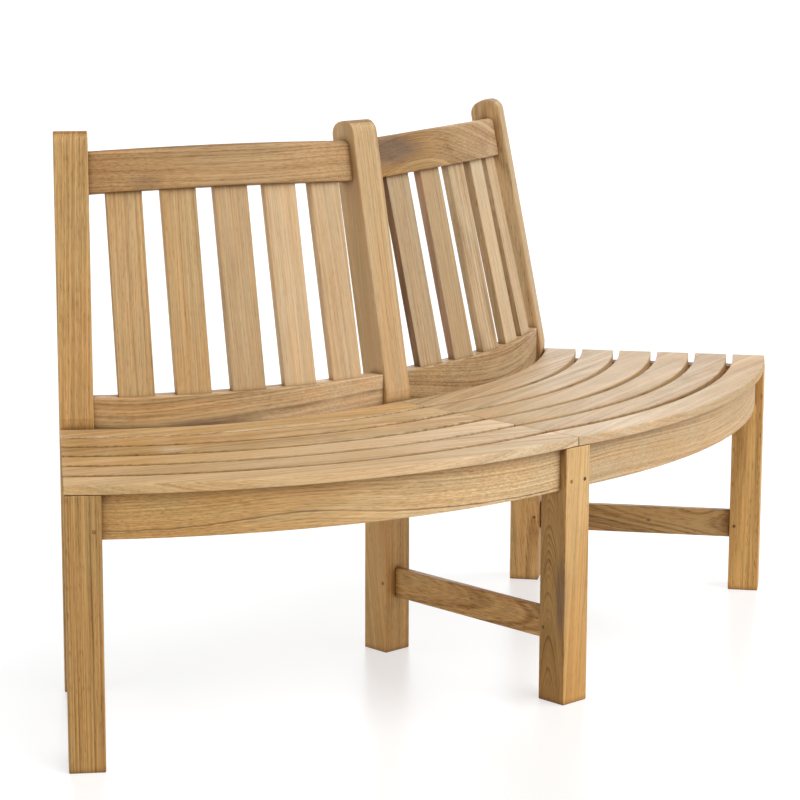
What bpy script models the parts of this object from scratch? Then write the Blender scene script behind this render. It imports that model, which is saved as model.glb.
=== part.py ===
"""Curved teak garden bench in two sections, each board a separate solid with real joints.

Three radial frames (left, middle, right) carry two equal sections between them. All frames point
away from one vertical axis behind the backrest, the centre line. In the frames and sections below,
-Y is outwards from that axis, towards the sitter's feet, and +X is to the right.
Lengths are in metres, Z is up, and the feet stand on Z = 0.
"""
import math

import bmesh
import bpy
from mathutils import Vector

# Plan of the bench
FRAME_ANGLE = math.radians(36.0)
FRONT_RADIUS = 1.3625
SEAT_ARC_SHIFT = 0.200
BACK_ARC_SHIFT = 0.100

# Legs and posts
LEG_SIZE = 0.056
FRONT_LEG_HEIGHT = 0.430
POST_DEPTH = 0.055
POST_HEIGHT = 0.920
POST_BEND_RISE = 0.017
POST_RAKE = math.radians(10.9)
POST_TOP_RADIUS = 0.022

# Seat slats
SLAT_COUNT = 6
SLAT_WIDTH = 0.0595
SLAT_THICKNESS = 0.015
SLAT_GAP = 0.012
SLAT_SEAM = 0.0008
SLAT_END_ROUND = 0.0012

# Aprons, bearers and stretchers
APRON_HEIGHT = 0.072
APRON_THICKNESS = 0.024
APRON_SETBACK = 0.0155
BEARER_HEIGHT = 0.070
BEARER_THICKNESS = 0.028
STRETCHER_BOTTOM = 0.098
STRETCHER_HEIGHT = 0.052
STRETCHER_THICKNESS = 0.015

# Backrest
LOWER_RAIL_RISE = 0.0482
LOWER_RAIL_HEIGHT = 0.070
LOWER_RAIL_THICKNESS = 0.033
LOWER_RAIL_SETBACK = 0.009
TOP_RAIL_DROP = 0.1015
TOP_RAIL_HEIGHT = 0.070
TOP_RAIL_THICKNESS = 0.030
TOP_RAIL_SETBACK = 0.0165
TOP_RAIL_ROUND = 0.009
BACK_SLAT_COUNT = 5
BACK_SLAT_FOOT_PITCH = math.radians(5.92)
BACK_SLAT_HEAD_PITCH = math.radians(6.12)
BACK_SLAT_WIDTH = 0.060
BACK_SLAT_THICKNESS = 0.015
BACK_SLAT_HOUSING = 0.012

# Joints
FIT_GAP = 0.0003
EDGE_ROUND = 0.002
SLAT_EDGE_ROUND = 0.0018
APRON_TENON_THICKNESS = 0.010
SIDE_TENON_DEPTH = 0.024
APRON_TENON_SHOULDER = 0.006
APRON_TENON_HAUNCH = 0.024
REAR_APRON_TENON_INSET = 0.0155
RAIL_TENON_THICKNESS = 0.012
RAIL_TENON_SHOULDER = 0.012
BEARER_TENON_THICKNESS = 0.010
BEARER_TENON_DEPTH = 0.018
BEARER_TENON_SHOULDER = 0.015
MIDDLE_TENON_DEPTH = 0.012
STRETCHER_TENON_THICKNESS = 0.009
STRETCHER_TENON_DEPTH = 0.028
STRETCHER_TENON_SHOULDER = 0.007
TENON_ROOT = 0.006
CUT_OVERRUN = 0.006
APRON_PEG_DIAMETER = 0.006
APRON_PEG_LENGTH = 0.040
APRON_PEG_INSET = 0.012
APRON_PEG_RISE = 0.016
STRETCHER_PEG_DIAMETER = 0.006
STRETCHER_PEG_INSET = 0.009

# Fineness of the curves, in segments
SLAT_SEGMENTS = 20
RAIL_SEGMENTS = 16
ROUND_SEGMENTS = 2
TOP_ROUND_SEGMENTS = 6
PEG_SIDES = 12
BEVEL_ANGLE = math.radians(40.0)
SHARP_ANGLE = math.radians(30.0)

# Sizes that follow from the ones above
HALF_SECTION = FRAME_ANGLE / 2
FRONT_LEG_INNER_RADIUS = FRONT_RADIUS - LEG_SIZE
SEAT_UNDERSIDE = FRONT_LEG_HEIGHT + FIT_GAP
SEAT_TOP = SEAT_UNDERSIDE + SLAT_THICKNESS
POST_BEND_HEIGHT = SEAT_TOP + POST_BEND_RISE
POST_LEAN = math.tan(POST_RAKE)

# The last slat's inner edge comes nearest to the centre line at the outer side of an end frame,
# and the posts stand just clear of that corner.
LAST_SLAT_RADIUS = FRONT_RADIUS - (SLAT_COUNT - 1) * (SLAT_WIDTH + SLAT_GAP)
LAST_SLAT_BEND = math.hypot(LAST_SLAT_RADIUS * math.cos(HALF_SECTION) - SEAT_ARC_SHIFT,
                            LAST_SLAT_RADIUS * math.sin(HALF_SECTION))
SEAT_CORNER_RADIUS = SEAT_ARC_SHIFT * math.cos(HALF_SECTION) + math.sqrt(
    (LAST_SLAT_BEND - SLAT_WIDTH) ** 2 - (LEG_SIZE / 2 + SEAT_ARC_SHIFT * math.sin(HALF_SECTION)) ** 2)
POST_FRONT_RADIUS = SEAT_CORNER_RADIUS - FIT_GAP

LOWER_RAIL_TOP = SEAT_TOP + LOWER_RAIL_RISE
LOWER_RAIL_BOTTOM = LOWER_RAIL_TOP - LOWER_RAIL_HEIGHT
LOWER_RAIL_FRONT_RADIUS = POST_FRONT_RADIUS - LOWER_RAIL_SETBACK
TOP_RAIL_BOTTOM = POST_HEIGHT - TOP_RAIL_DROP
REAR_APRON_TOP = LOWER_RAIL_BOTTOM - FIT_GAP
BETWEEN_LEGS = (LEG_SIZE / 2 + FIT_GAP, -LEG_SIZE / 2 - FIT_GAP)

FRAME_TURNS = {"left": -FRAME_ANGLE, "middle": 0.0, "right": FRAME_ANGLE}
SECTION_SIGNS = {"left": -1, "right": 1}

# Colours of the freshly oiled boards
HONEY = (0.52, 0.29, 0.11)
GOLD = (0.62, 0.38, 0.16)
TAN = (0.60, 0.40, 0.22)
BROWN = (0.40, 0.21, 0.08)


def post_front(height):
    """Radius of the raked front face of the posts at a height above the bend."""
    return POST_FRONT_RADIUS - (height - POST_BEND_HEIGHT) * POST_LEAN


def clear_scene():
    """Remove every object of the scene, so that only the bench is left."""
    for found in list(bpy.data.objects):
        bpy.data.objects.remove(found, do_unlink=True)


def teak(name, colour, roughness=0.55):
    """A plain wood material with one colour."""
    material = bpy.data.materials.new(name)
    material.use_nodes = True
    shader = material.node_tree.nodes["Principled BSDF"]
    shader.inputs["Base Color"].default_value = (*colour, 1.0)
    shader.inputs["Roughness"].default_value = roughness
    shader.inputs["Metallic"].default_value = 0.0
    return material


def empty(name, parent=None, turn=0.0):
    """An axis to hang pieces on, turned about Z."""
    holder = bpy.data.objects.new(name, None)
    bpy.context.collection.objects.link(holder)
    holder.parent = parent
    holder.rotation_euler = (0.0, 0.0, turn)
    return holder


def add_mesh(name, points, faces, parent):
    """A mesh object with its faces pointing out."""
    mesh = bpy.data.meshes.new(name)
    mesh.from_pydata([tuple(point) for point in points], [], faces)
    work = bmesh.new()
    work.from_mesh(mesh)
    bmesh.ops.recalc_face_normals(work, faces=work.faces)
    work.to_mesh(mesh)
    work.free()
    piece = bpy.data.objects.new(name, mesh)
    bpy.context.collection.objects.link(piece)
    piece.parent = parent
    return piece


def loft(rings):
    """Points and faces of a solid that runs through equal rings of points, capped at both ends."""
    count = len(rings[0])
    points = [point for ring in rings for point in ring]
    faces = [tuple(range(count)), tuple(range(len(points) - count, len(points)))]
    for step in range(len(rings) - 1):
        for side in range(count):
            beside = (side + 1) % count
            low, high = step * count, (step + 1) * count
            faces.append((low + side, low + beside, high + beside, high + side))
    return points, faces


def slab(name, width, radii, heights, parent, lean=0.0, across=0.0):
    """A board or cutter in a frame, from the outer to the inner radius.

    It is width wide along X, with its middle at across, and it leans inwards with height by lean.
    """
    (low, high), half = heights, width / 2
    rings = []
    for x in (across - half, across + half):
        rings.append([
            (x, -radii[0], low),
            (x, -radii[1], low),
            (x, -radii[1] + (high - low) * lean, high),
            (x, -radii[0] + (high - low) * lean, high),
        ])
    return add_mesh(name, *loft(rings), parent)


def finish(piece, colour, ease=EDGE_ROUND):
    """Give a piece its own wood, ease its edges unless ease is zero, and smooth its shading."""
    piece.data.materials.append(teak(f"teak_{piece.name}", colour))
    if ease:
        edges = piece.modifiers.new("eased_edges", "BEVEL")
        edges.width = ease
        edges.segments = ROUND_SEGMENTS
        edges.limit_method = "ANGLE"
        edges.angle_limit = BEVEL_ANGLE
    piece.data.shade_smooth()
    piece.data.set_sharp_from_angle(angle=SHARP_ANGLE)
    return piece


def combine(piece, tool, operation):
    """Join a tenon to a piece or cut a mortise from it; the tool itself is only a guide."""
    tool.hide_render = True
    tool.display_type = "WIRE"
    step = piece.modifiers.new(tool.name, "BOOLEAN")
    step.operation = operation
    step.solver = "EXACT"
    step.object = tool


def grown(span):
    """A span with the fitting gap added at both ends."""
    low, high = min(span), max(span)
    return (low - FIT_GAP, high + FIT_GAP)


class Arc:
    """The curve of a board in a section, in the section's own axes.

    It passes both frames at end_radius and height. Its centre lies shift in front of the bench's
    centre line, and its plane tips back by tilt about the chord between the frames.
    """

    def __init__(self, end_radius, shift, height, tilt=0.0):
        reach = end_radius * math.cos(HALF_SECTION) - shift
        half_chord = end_radius * math.sin(HALF_SECTION)
        self.tilt = tilt
        self.radius = math.hypot(reach, half_chord)
        self.forward = end_radius * math.cos(HALF_SECTION) - reach * math.cos(tilt)
        self.height = height - reach * math.sin(tilt)

    def point(self, angle, outwards, up):
        """Place on the board: angle round the arc, outwards from it and up square to its plane."""
        reach = self.radius + outwards
        out = self.forward + reach * math.cos(angle) * math.cos(self.tilt) - up * math.sin(self.tilt)
        rise = self.height + reach * math.cos(angle) * math.sin(self.tilt) + up * math.cos(self.tilt)
        return Vector((reach * math.sin(angle), -out, rise))

    def meet(self, side, offset, outwards, up):
        """Angle at which a line along the board meets the upright plane beside a frame.

        side is -1 for the middle frame and 1 for the end frame; offset is how far the plane
        stands from the frame's own plane, positive towards the end frame.
        """
        reach = self.radius + outwards
        along = -side * math.sin(HALF_SECTION) * reach * math.cos(self.tilt)
        across = math.cos(HALF_SECTION) * reach
        centre = self.forward - up * math.sin(self.tilt)
        wanted = offset + side * math.sin(HALF_SECTION) * centre
        return math.asin(wanted / math.hypot(along, across)) - math.atan2(along, across)

    def at_bearing(self, bearing, outwards, up):
        """Point of the board that lies at a bearing from the centre line."""
        reach = self.radius + outwards
        centre = self.forward - up * math.sin(self.tilt)
        along = -math.sin(bearing) * reach * math.cos(self.tilt)
        across = math.cos(bearing) * reach
        wanted = math.sin(bearing) * centre
        angle = math.asin(wanted / math.hypot(along, across)) - math.atan2(along, across)
        return self.point(angle, outwards, up)


def eased_profile(thickness, height, rounds, inside=0.0):
    """Outline of a board's section with rounded corners, as (outwards, up) pairs.

    It starts at the outer face's foot and lies inside the full outline by inside. rounds holds
    the radii at the lower outer, upper outer, upper inner and lower inner corner.
    """
    corners = ((0.0, 0.0, 1, 1), (0.0, height, 1, -1),
               (-thickness, height, -1, -1), (-thickness, 0.0, -1, 1))
    outline = []
    for index, ((out, up, side, upright), radius) in enumerate(zip(corners, rounds)):
        start = (-0.5 + index * 0.5) * math.pi
        steps = TOP_ROUND_SEGMENTS if radius > max(EDGE_ROUND, SLAT_EDGE_ROUND) else ROUND_SEGMENTS
        for step in range(steps + 1):
            turn = start + step / steps * math.pi / 2
            outline.append((
                out - side * radius + (radius - inside) * math.cos(turn),
                up + upright * radius + (radius - inside) * math.sin(turn),
            ))
    return outline


def curved_board(name, arc, shape, offsets, segments, section, end_round=0.0):
    """A board bent round a section, cut off by upright planes beside its two frames.

    shape is the thickness, the height and the corner radii of the board's section. The edges at
    the cut ends are rounded too where end_round is given.
    """
    lines = []
    for outwards, up in eased_profile(*shape):
        start = arc.meet(-1, offsets[0] + end_round, outwards, up)
        end = arc.meet(1, offsets[1] - end_round, outwards, up)
        lines.append([
            arc.point(start + (end - start) * step / segments, outwards, up)
            for step in range(segments + 1)
        ])
    rings = [list(ring) for ring in zip(*lines)]
    for step in range(ROUND_SEGMENTS if end_round else 0):
        turn = math.pi / 2 * (step + 1) / ROUND_SEGMENTS
        along, inside = end_round * (1 - math.sin(turn)), end_round * (1 - math.cos(turn))
        outline = eased_profile(*shape, inside)
        start_cut, end_cut = offsets[0] + along, offsets[1] - along
        rings.insert(0, [arc.point(arc.meet(-1, start_cut, *place), *place) for place in outline])
        rings.append([arc.point(arc.meet(1, end_cut, *place), *place) for place in outline])
    points, faces = loft(rings)
    points = [(section.sign * point.x, point.y, point.z) for point in points]
    return add_mesh(name, points, faces, section.axis)


class Section:
    """One half of the bench, between the middle frame and an end frame."""

    def __init__(self, side, centre):
        self.side = side
        self.sign = SECTION_SIGNS[side]
        self.axis = empty(f"section_{side}", centre, self.sign * HALF_SECTION)
        self.frames = ("middle", side)

    def tenon_side(self, frame):
        """Direction along X in a frame from the frame to this section's boards."""
        return self.sign if frame == "middle" else -self.sign


def build_posts(frames):
    """The back posts: leg and backrest upright in one, raked above the seat."""
    lean = Vector((math.sin(POST_RAKE), math.cos(POST_RAKE)))
    square = Vector((-lean.y, lean.x))
    middle = Vector((-POST_FRONT_RADIUS + POST_DEPTH / 2, POST_BEND_HEIGHT))
    top = middle + lean * ((POST_HEIGHT - POST_BEND_HEIGHT) / lean.y)
    half_depth = POST_DEPTH * math.cos(POST_RAKE) / 2
    outline = [
        Vector((-POST_FRONT_RADIUS + POST_DEPTH, POST_BEND_HEIGHT)),
        Vector((-POST_FRONT_RADIUS + POST_DEPTH, 0.0)),
        Vector((-POST_FRONT_RADIUS, 0.0)),
        Vector((-POST_FRONT_RADIUS, POST_BEND_HEIGHT)),
    ]
    for side in (1, -1):
        outwards = square * side
        pivot = top + outwards * (half_depth - POST_TOP_RADIUS) - lean * POST_TOP_RADIUS
        for step in range(TOP_ROUND_SEGMENTS + 1):
            share = step / TOP_ROUND_SEGMENTS
            turn = math.pi / 2 * (share if side > 0 else 1 - share)
            outline.append(pivot + (outwards * math.cos(turn) + lean * math.sin(turn)) * POST_TOP_RADIUS)
    posts = {}
    for frame, axis in frames.items():
        rings = [[(x, y, z) for y, z in outline] for x in (-LEG_SIZE / 2, LEG_SIZE / 2)]
        posts[frame] = finish(add_mesh(f"back_post_{frame}", *loft(rings), axis), HONEY)
    return posts


def build_front_legs(frames):
    """The square front legs, up to the underside of the seat slats."""
    legs = {}
    for frame, axis in frames.items():
        leg = slab(f"front_leg_{frame}", LEG_SIZE, (FRONT_RADIUS, FRONT_LEG_INNER_RADIUS),
                   (0.0, FRONT_LEG_HEIGHT), axis)
        legs[frame] = finish(leg, GOLD)
    return legs


def radial_board(name, axis, thickness, radii, heights, tenon, ends):
    """A straight board along a radius, with a tenon at each end let into the piece there.

    tenon is (thickness, depth, shoulder); ends are the outer and inner pieces.
    """
    outer, inner = radii
    board = slab(name, thickness, (outer - FIT_GAP, inner + FIT_GAP), heights, axis)
    finish(board, BROWN)
    tenon_thickness, depth, shoulder = tenon
    span = (heights[0] + shoulder, heights[1] - shoulder)
    reaches = (("outer", outer - TENON_ROOT, outer + depth, ends[0]),
               ("inner", inner - depth, inner + TENON_ROOT, ends[1]))
    for place, near, far, end in reaches:
        tongue = slab(f"tenon_{name}_{place}", tenon_thickness, (far, near), span, axis)
        combine(board, tongue, "UNION")
        wide, long = grown(span), grown((near, far))
        hole = slab(f"mortise_{name}_{place}", tenon_thickness + FIT_GAP * 2, (long[1], long[0]), wide, axis)
        combine(end, hole, "DIFFERENCE")
    return board


def build_bearers(frames, legs, posts):
    """The seat bearers, which carry the slats in each frame."""
    tenon = (BEARER_TENON_THICKNESS, BEARER_TENON_DEPTH, BEARER_TENON_SHOULDER)
    for frame, axis in frames.items():
        radial_board(
            f"seat_bearer_{frame}", axis, BEARER_THICKNESS,
            (FRONT_LEG_INNER_RADIUS, POST_FRONT_RADIUS),
            (FRONT_LEG_HEIGHT - BEARER_HEIGHT, FRONT_LEG_HEIGHT),
            tenon, (legs[frame], posts[frame]))


def build_stretchers(frames, legs, posts):
    """The low stretchers between the front legs and the back posts."""
    tenon = (STRETCHER_TENON_THICKNESS, STRETCHER_TENON_DEPTH, STRETCHER_TENON_SHOULDER)
    boards = {}
    for frame, axis in frames.items():
        boards[frame] = radial_board(
            f"stretcher_{frame}", axis, STRETCHER_THICKNESS,
            (FRONT_LEG_INNER_RADIUS, POST_FRONT_RADIUS),
            (STRETCHER_BOTTOM, STRETCHER_BOTTOM + STRETCHER_HEIGHT),
            tenon, (legs[frame], posts[frame]))
    return boards


def section_tenons(board, name, section, frames, ends, mid_radius, tenon, heights, lean=0.0):
    """Tenons at both ends of a section's board, let into the legs or posts of its two frames.

    tenon is (thickness, depth); mid_radius is the tenon's middle at its lower edge.
    """
    thickness, depth = tenon
    for frame in section.frames:
        towards = section.tenon_side(frame)
        face, root, tip = LEG_SIZE / 2, LEG_SIZE / 2 + TENON_ROOT, LEG_SIZE / 2 - depth
        radii = (mid_radius + thickness / 2, mid_radius - thickness / 2)
        tongue = slab(f"tenon_{name}_{frame}", root - tip, radii, heights, frames[frame], lean,
                      towards * (root + tip) / 2)
        combine(board, tongue, "UNION")
        wide, high = grown(radii), grown(heights)
        slope = FIT_GAP * lean
        hole = slab(f"mortise_{name}_{frame}", face + FIT_GAP - (tip - FIT_GAP),
                    (wide[1] + slope, wide[0] + slope), high, frames[frame], lean,
                    towards * (face + tip) / 2)
        combine(ends[frame], hole, "DIFFERENCE")


def build_aprons(section, frames, legs, posts):
    """The curved aprons under the seat: one between front legs, one between back posts."""
    shape = (APRON_THICKNESS, APRON_HEIGHT, (EDGE_ROUND,) * 4)
    front_face = FRONT_RADIUS - APRON_SETBACK
    front_bottom = FRONT_LEG_HEIGHT - APRON_HEIGHT
    rear_bottom = REAR_APRON_TOP - APRON_HEIGHT
    places = {
        "front_apron": (Arc(front_face, SEAT_ARC_SHIFT, front_bottom), legs, front_bottom,
                        front_face - APRON_THICKNESS / 2),
        "rear_apron": (Arc(LOWER_RAIL_FRONT_RADIUS, BACK_ARC_SHIFT, rear_bottom), posts, rear_bottom,
                       LOWER_RAIL_FRONT_RADIUS - REAR_APRON_TENON_INSET),
    }
    boards = {}
    for kind, (arc, ends, bottom, tenon_middle) in places.items():
        name = f"{kind}_{section.side}"
        board = curved_board(name, arc, shape, BETWEEN_LEGS, RAIL_SEGMENTS, section)
        finish(board, HONEY, ease=0.0)
        heights = (bottom + APRON_TENON_SHOULDER, bottom + APRON_HEIGHT - APRON_TENON_HAUNCH)
        section_tenons(board, name, section, frames, ends, tenon_middle,
                       (APRON_TENON_THICKNESS, SIDE_TENON_DEPTH), heights)
        boards[kind] = (board, arc)
    return boards


def build_middle_bearer(section, aprons):
    """The bearer at mid-span, from the front apron to the rear one, under the slats."""
    front, front_arc = aprons["front_apron"]
    rear, rear_arc = aprons["rear_apron"]
    outer = front_arc.forward + front_arc.radius - APRON_THICKNESS
    inner = rear_arc.forward + rear_arc.radius
    tenon = (BEARER_TENON_THICKNESS, MIDDLE_TENON_DEPTH, BEARER_TENON_SHOULDER)
    radial_board(
        f"middle_bearer_{section.side}", section.axis, BEARER_THICKNESS,
        (outer - FIT_GAP, inner + FIT_GAP),
        (FRONT_LEG_HEIGHT - BEARER_HEIGHT, FRONT_LEG_HEIGHT), tenon, (front, rear))


def build_seat_slats(section):
    """Six curved slats, from the outer edge of the seat to the posts."""
    shape = (SLAT_WIDTH, SLAT_THICKNESS, (SLAT_EDGE_ROUND,) * 4)
    offsets = (SLAT_SEAM / 2, LEG_SIZE / 2)
    for index in range(SLAT_COUNT):
        outer = FRONT_RADIUS - index * (SLAT_WIDTH + SLAT_GAP)
        arc = Arc(outer, SEAT_ARC_SHIFT, SEAT_UNDERSIDE)
        name = f"seat_slat_{section.side}_{index + 1}"
        slat = curved_board(name, arc, shape, offsets, SLAT_SEGMENTS, section, SLAT_END_ROUND)
        finish(slat, TAN, ease=0.0)


def build_back_rails(section, frames, posts):
    """The lower and the top back rail between the posts."""
    tenon = (RAIL_TENON_THICKNESS, SIDE_TENON_DEPTH)
    lower_arc = Arc(LOWER_RAIL_FRONT_RADIUS, BACK_ARC_SHIFT, LOWER_RAIL_BOTTOM)
    lower_name = f"lower_back_rail_{section.side}"
    lower_shape = (LOWER_RAIL_THICKNESS, LOWER_RAIL_HEIGHT, (EDGE_ROUND,) * 4)
    lower = curved_board(lower_name, lower_arc, lower_shape, BETWEEN_LEGS, RAIL_SEGMENTS, section)
    finish(lower, HONEY, ease=0.0)
    section_tenons(lower, lower_name, section, frames, posts,
                   LOWER_RAIL_FRONT_RADIUS - LOWER_RAIL_THICKNESS / 2, tenon,
                   (LOWER_RAIL_BOTTOM + RAIL_TENON_SHOULDER, LOWER_RAIL_TOP - RAIL_TENON_SHOULDER))

    top_front = post_front(TOP_RAIL_BOTTOM) - TOP_RAIL_SETBACK
    top_arc = Arc(top_front, BACK_ARC_SHIFT, TOP_RAIL_BOTTOM, POST_RAKE)
    top_name = f"top_back_rail_{section.side}"
    rounds = (EDGE_ROUND, TOP_RAIL_ROUND, TOP_RAIL_ROUND, EDGE_ROUND)
    top_shape = (TOP_RAIL_THICKNESS, TOP_RAIL_HEIGHT, rounds)
    top = curved_board(top_name, top_arc, top_shape, BETWEEN_LEGS, RAIL_SEGMENTS, section)
    finish(top, HONEY, ease=0.0)
    top_middle = top_front - TOP_RAIL_THICKNESS / 2 / math.cos(POST_RAKE)
    section_tenons(top, top_name, section, frames, posts,
                   top_middle - RAIL_TENON_SHOULDER * POST_LEAN, tenon,
                   (TOP_RAIL_BOTTOM + RAIL_TENON_SHOULDER,
                    TOP_RAIL_BOTTOM + TOP_RAIL_HEIGHT - RAIL_TENON_SHOULDER), POST_LEAN)
    return (lower, lower_arc), (top, top_arc)


def plank(name, foot, head, broadside, width, thickness, parent):
    """A straight plank between two points, its width lying as near to broadside as it can."""
    upright = (head - foot).normalized()
    outwards = broadside.cross(upright).normalized()
    across = upright.cross(outwards)
    corners = ((-1, -1), (1, -1), (1, 1), (-1, 1))
    rings = [
        [end + across * side * width / 2 + outwards * face * thickness / 2 for side, face in corners]
        for end in (foot, head)
    ]
    return add_mesh(name, *loft(rings), parent)


def build_back_slats(section, rails):
    """Five flat slats between the back rails, each end housed in its rail."""
    (lower, lower_arc), (top, top_arc) = rails
    for index in range(BACK_SLAT_COUNT):
        place = index - (BACK_SLAT_COUNT - 1) / 2
        bearing = place * BACK_SLAT_FOOT_PITCH
        foot = lower_arc.at_bearing(bearing, -LOWER_RAIL_THICKNESS / 2, LOWER_RAIL_HEIGHT)
        head = top_arc.at_bearing(place * BACK_SLAT_HEAD_PITCH, -TOP_RAIL_THICKNESS / 2, 0.0)
        broadside = Vector((math.cos(bearing), math.sin(bearing), 0.0))
        for point in (foot, head, broadside):
            point.x *= section.sign
        upright = (head - foot).normalized()
        name = f"back_slat_{section.side}_{index + 1}"
        ends = (foot - upright * BACK_SLAT_HOUSING, head + upright * BACK_SLAT_HOUSING)
        slat = plank(name, *ends, broadside, BACK_SLAT_WIDTH, BACK_SLAT_THICKNESS, section.axis)
        finish(slat, GOLD, ease=SLAT_EDGE_ROUND)
        housing = plank(f"housing_{name}", ends[0] - upright * FIT_GAP, ends[1] + upright * FIT_GAP,
                        broadside, BACK_SLAT_WIDTH + FIT_GAP * 2, BACK_SLAT_THICKNESS + FIT_GAP * 2,
                        section.axis)
        combine(lower, housing, "DIFFERENCE")
        combine(top, housing, "DIFFERENCE")


def dowel(name, start, end, diameter, parent):
    """A round peg between two points, or the cutter for its hole."""
    axis = (end - start).normalized()
    beside = axis.orthogonal().normalized()
    above = axis.cross(beside)
    rings = []
    for place in (start, end):
        turns = [2 * math.pi * step / PEG_SIDES for step in range(PEG_SIDES)]
        rings.append([
            place + (beside * math.cos(turn) + above * math.sin(turn)) * diameter / 2 for turn in turns
        ])
    return add_mesh(name, *loft(rings), parent)


def peg(name, start, end, diameter, through, parent, overrun):
    """A peg that pins a joint, with its hole cut through the pieces it passes.

    The hole is a fitting gap wider than the peg, and it runs past the peg's start and end by the
    two overruns.
    """
    finish(dowel(name, start, end, diameter, parent), BROWN, ease=0.0)
    axis = (end - start).normalized()
    hole = dowel(f"hole_{name}", start - axis * overrun[0], end + axis * overrun[1],
                 diameter + FIT_GAP * 2, parent)
    for board in through:
        combine(board, hole, "DIFFERENCE")


def build_apron_pegs(sections, frames, legs, aprons):
    """Pegs let into the front faces of the front legs, one for each front apron tenon."""
    height = FRONT_LEG_HEIGHT - APRON_HEIGHT + APRON_PEG_RISE
    for side, section in sections.items():
        for frame in section.frames:
            across = section.tenon_side(frame) * (LEG_SIZE / 2 - APRON_PEG_INSET)
            name = f"apron_peg_middle_{side}" if frame == "middle" else f"apron_peg_{frame}"
            start = Vector((across, -FRONT_RADIUS, height))
            end = Vector((across, -FRONT_RADIUS + APRON_PEG_LENGTH, height))
            peg(name, start, end, APRON_PEG_DIAMETER, (legs[frame], aprons[side]["front_apron"][0]),
                frames[frame], (CUT_OVERRUN, FIT_GAP))


def build_stretcher_pegs(frames, legs, posts, stretchers):
    """Pegs through the legs and posts from side to side, one for each stretcher tenon."""
    height = STRETCHER_BOTTOM + STRETCHER_HEIGHT / 2
    for frame, axis in frames.items():
        places = {"front": (FRONT_LEG_INNER_RADIUS + STRETCHER_PEG_INSET, legs[frame]),
                  "rear": (POST_FRONT_RADIUS - STRETCHER_PEG_INSET, posts[frame])}
        for place, (radius, upright) in places.items():
            start = Vector((-LEG_SIZE / 2, -radius, height))
            end = Vector((LEG_SIZE / 2, -radius, height))
            peg(f"stretcher_peg_{frame}_{place}", start, end, STRETCHER_PEG_DIAMETER,
                (upright, stretchers[frame]), axis, (CUT_OVERRUN, CUT_OVERRUN))


def settle(centre):
    """Move the bench so that the middle of its footprint's box is at the origin."""
    bpy.context.view_layer.update()
    graph = bpy.context.evaluated_depsgraph_get()
    lows, highs = [], []
    for piece in bpy.data.objects:
        if piece.type != "MESH" or piece.hide_render:
            continue
        shape = piece.evaluated_get(graph)
        depths = [(shape.matrix_world @ vertex.co).y for vertex in shape.data.vertices]
        lows.append(min(depths))
        highs.append(max(depths))
    centre.location.y = -(min(lows) + max(highs)) / 2
    bpy.context.view_layer.update()


def main():
    """Build the bench."""
    clear_scene()
    centre = empty("centre_line")
    frames = {frame: empty(f"frame_{frame}", centre, turn) for frame, turn in FRAME_TURNS.items()}
    legs, posts = build_front_legs(frames), build_posts(frames)
    build_bearers(frames, legs, posts)
    stretchers = build_stretchers(frames, legs, posts)
    sections = {side: Section(side, centre) for side in SECTION_SIGNS}
    aprons = {}
    for side, section in sections.items():
        aprons[side] = build_aprons(section, frames, legs, posts)
        build_middle_bearer(section, aprons[side])
        build_seat_slats(section)
        build_back_slats(section, build_back_rails(section, frames, posts))
    build_apron_pegs(sections, frames, legs, aprons)
    build_stretcher_pegs(frames, legs, posts, stretchers)
    settle(centre)


main()
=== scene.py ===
"""Looks of the curved teak garden bench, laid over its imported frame.

Every board keeps the shape that the frame gives it and gets its own cut of teak: growth rings
round the heart of a log, fibres and pores along the grain, and dark streaks, stains and burrs
where the real boards show them. A studio with a pale floor, soft lamps and a camera stands round
it. Lengths are in metres, Z is up, and -Y is the side of the sitter's feet.
"""

import logging
import math
import random
import zlib
from dataclasses import dataclass, field, replace
from enum import Enum

import bpy
from mathutils import Matrix, Vector

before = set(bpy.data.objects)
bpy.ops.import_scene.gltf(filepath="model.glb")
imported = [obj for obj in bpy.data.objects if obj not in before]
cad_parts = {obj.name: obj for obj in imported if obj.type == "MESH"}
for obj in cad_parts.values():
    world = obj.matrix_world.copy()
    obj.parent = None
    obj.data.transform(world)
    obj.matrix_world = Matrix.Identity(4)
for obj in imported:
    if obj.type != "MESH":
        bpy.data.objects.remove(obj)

LOG = logging.getLogger("bench")

Socket = bpy.types.NodeSocket
Node = bpy.types.Node
Triple = tuple[float, float, float]
Opaque = tuple[float, float, float, float]

WHITE: Opaque = (1.0, 1.0, 1.0, 1.0)
UP = Vector((0.0, 0.0, 1.0))


class Tone(Enum):
    """Body colours of the teak boards, as linear red, green and blue."""

    IVORY = (0.66, 0.487, 0.288)
    STRAW = (0.66, 0.466, 0.264)
    TAN = (0.62, 0.418, 0.217)
    HONEY = (0.62, 0.40, 0.182)
    CHESTNUT = (0.48, 0.29, 0.128)
    AMBER = (0.56, 0.334, 0.126)
    RUSSET = (0.50, 0.283, 0.092)
    BROWN = (0.30, 0.17, 0.075)
    UMBER = (0.21, 0.133, 0.082)


class Side(Enum):
    """The frames and sections of the bench, as the photograph shows them from left to right."""

    LEFT = "left"
    MIDDLE = "middle"
    RIGHT = "right"


@dataclass(frozen=True)
class Noise:
    """A noise of the wood.

    waves is its waves per metre along the grain, across it and through the board, octaves the
    number of its finer octaves and roughness their weight.
    """

    waves: Triple
    octaves: float
    roughness: float


# Shader writing


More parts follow.
